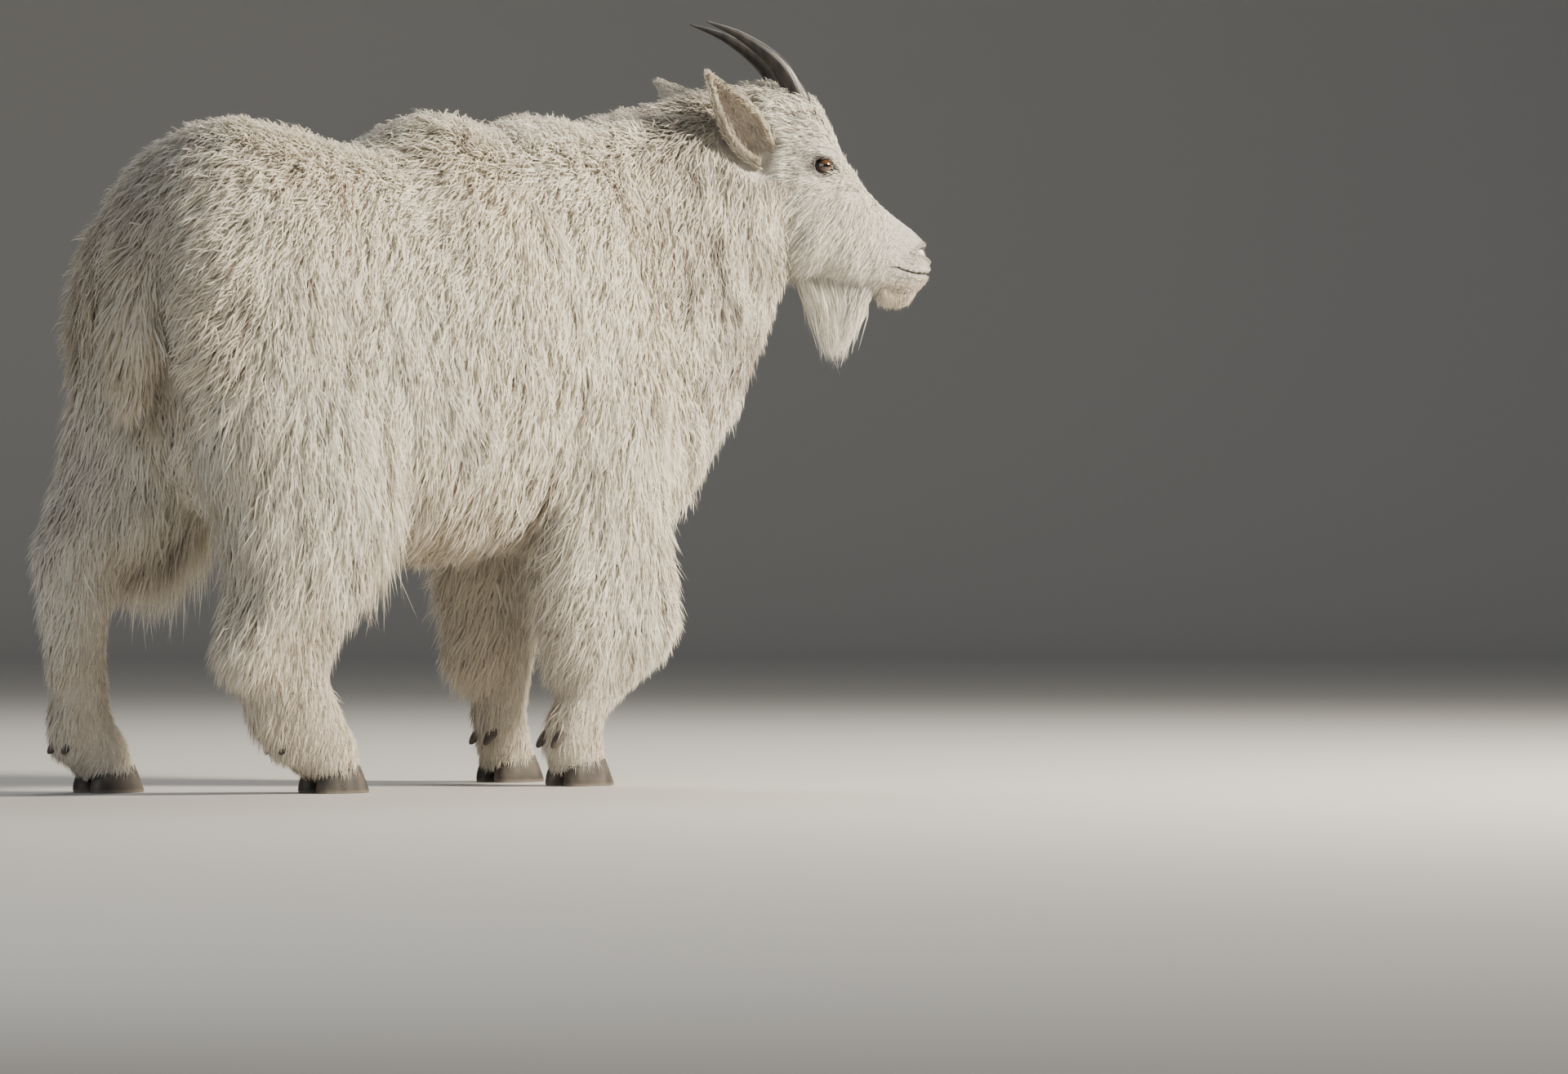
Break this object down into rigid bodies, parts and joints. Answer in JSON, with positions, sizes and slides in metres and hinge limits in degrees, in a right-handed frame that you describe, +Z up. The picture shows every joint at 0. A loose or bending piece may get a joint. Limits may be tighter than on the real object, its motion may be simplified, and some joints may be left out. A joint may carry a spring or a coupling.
{
  "type": "mountain goat model",
  "caption": "Life-size still model of an adult mountain goat in mid step, head turned to its right, with a shaggy pale coat, beard, black horns and cloven hooves.",
  "frame": {"origin": "middle of the model's box, on the floor", "axes": "+X to the chest and the way it walks, +Y to the goat's left, +Z up"},
  "size_m": [1.4992, 0.4612, 1.1831],
  "materials": {
    "coat": "long matt wool and guard hair",
    "horn": "polished black horn with shallow rings at its base",
    "hoof": "worn dark horn",
    "eye": "wet, dark brown"
  },
  "bodies": {
    "root": {"fore_left_upper": "coat", "fore_left_lower": "coat", "fore_left_claw_outer": "hoof", "fore_left_dewclaw_outer": "hoof", "fore_left_claw_inner": "hoof", "fore_left_dewclaw_inner": "hoof", "fore_right_upper": "coat", "fore_right_lower": "coat", "fore_right_claw_outer": "hoof", "fore_right_dewclaw_outer": "hoof", "fore_right_claw_inner": "hoof", "fore_right_dewclaw_inner": "hoof", "hind_left_upper": "coat", "hind_left_lower": "coat", "hind_left_claw_outer": "hoof", "hind_left_dewclaw_outer": "hoof", "hind_left_claw_inner": "hoof", "hind_left_dewclaw_inner": "hoof", "hind_right_upper": "coat", "hind_right_lower": "coat", "hind_right_claw_outer": "hoof", "hind_right_dewclaw_outer": "hoof", "hind_right_claw_inner": "hoof", "hind_right_dewclaw_inner": "hoof", "eye_left": "eye", "horn_left": "horn", "ear_left": "coat", "eye_right": "eye", "horn_right": "horn", "ear_right": "coat", "torso": "coat", "neck": "coat", "head": "coat", "tail": "coat"}
  },
  "joints": []
}
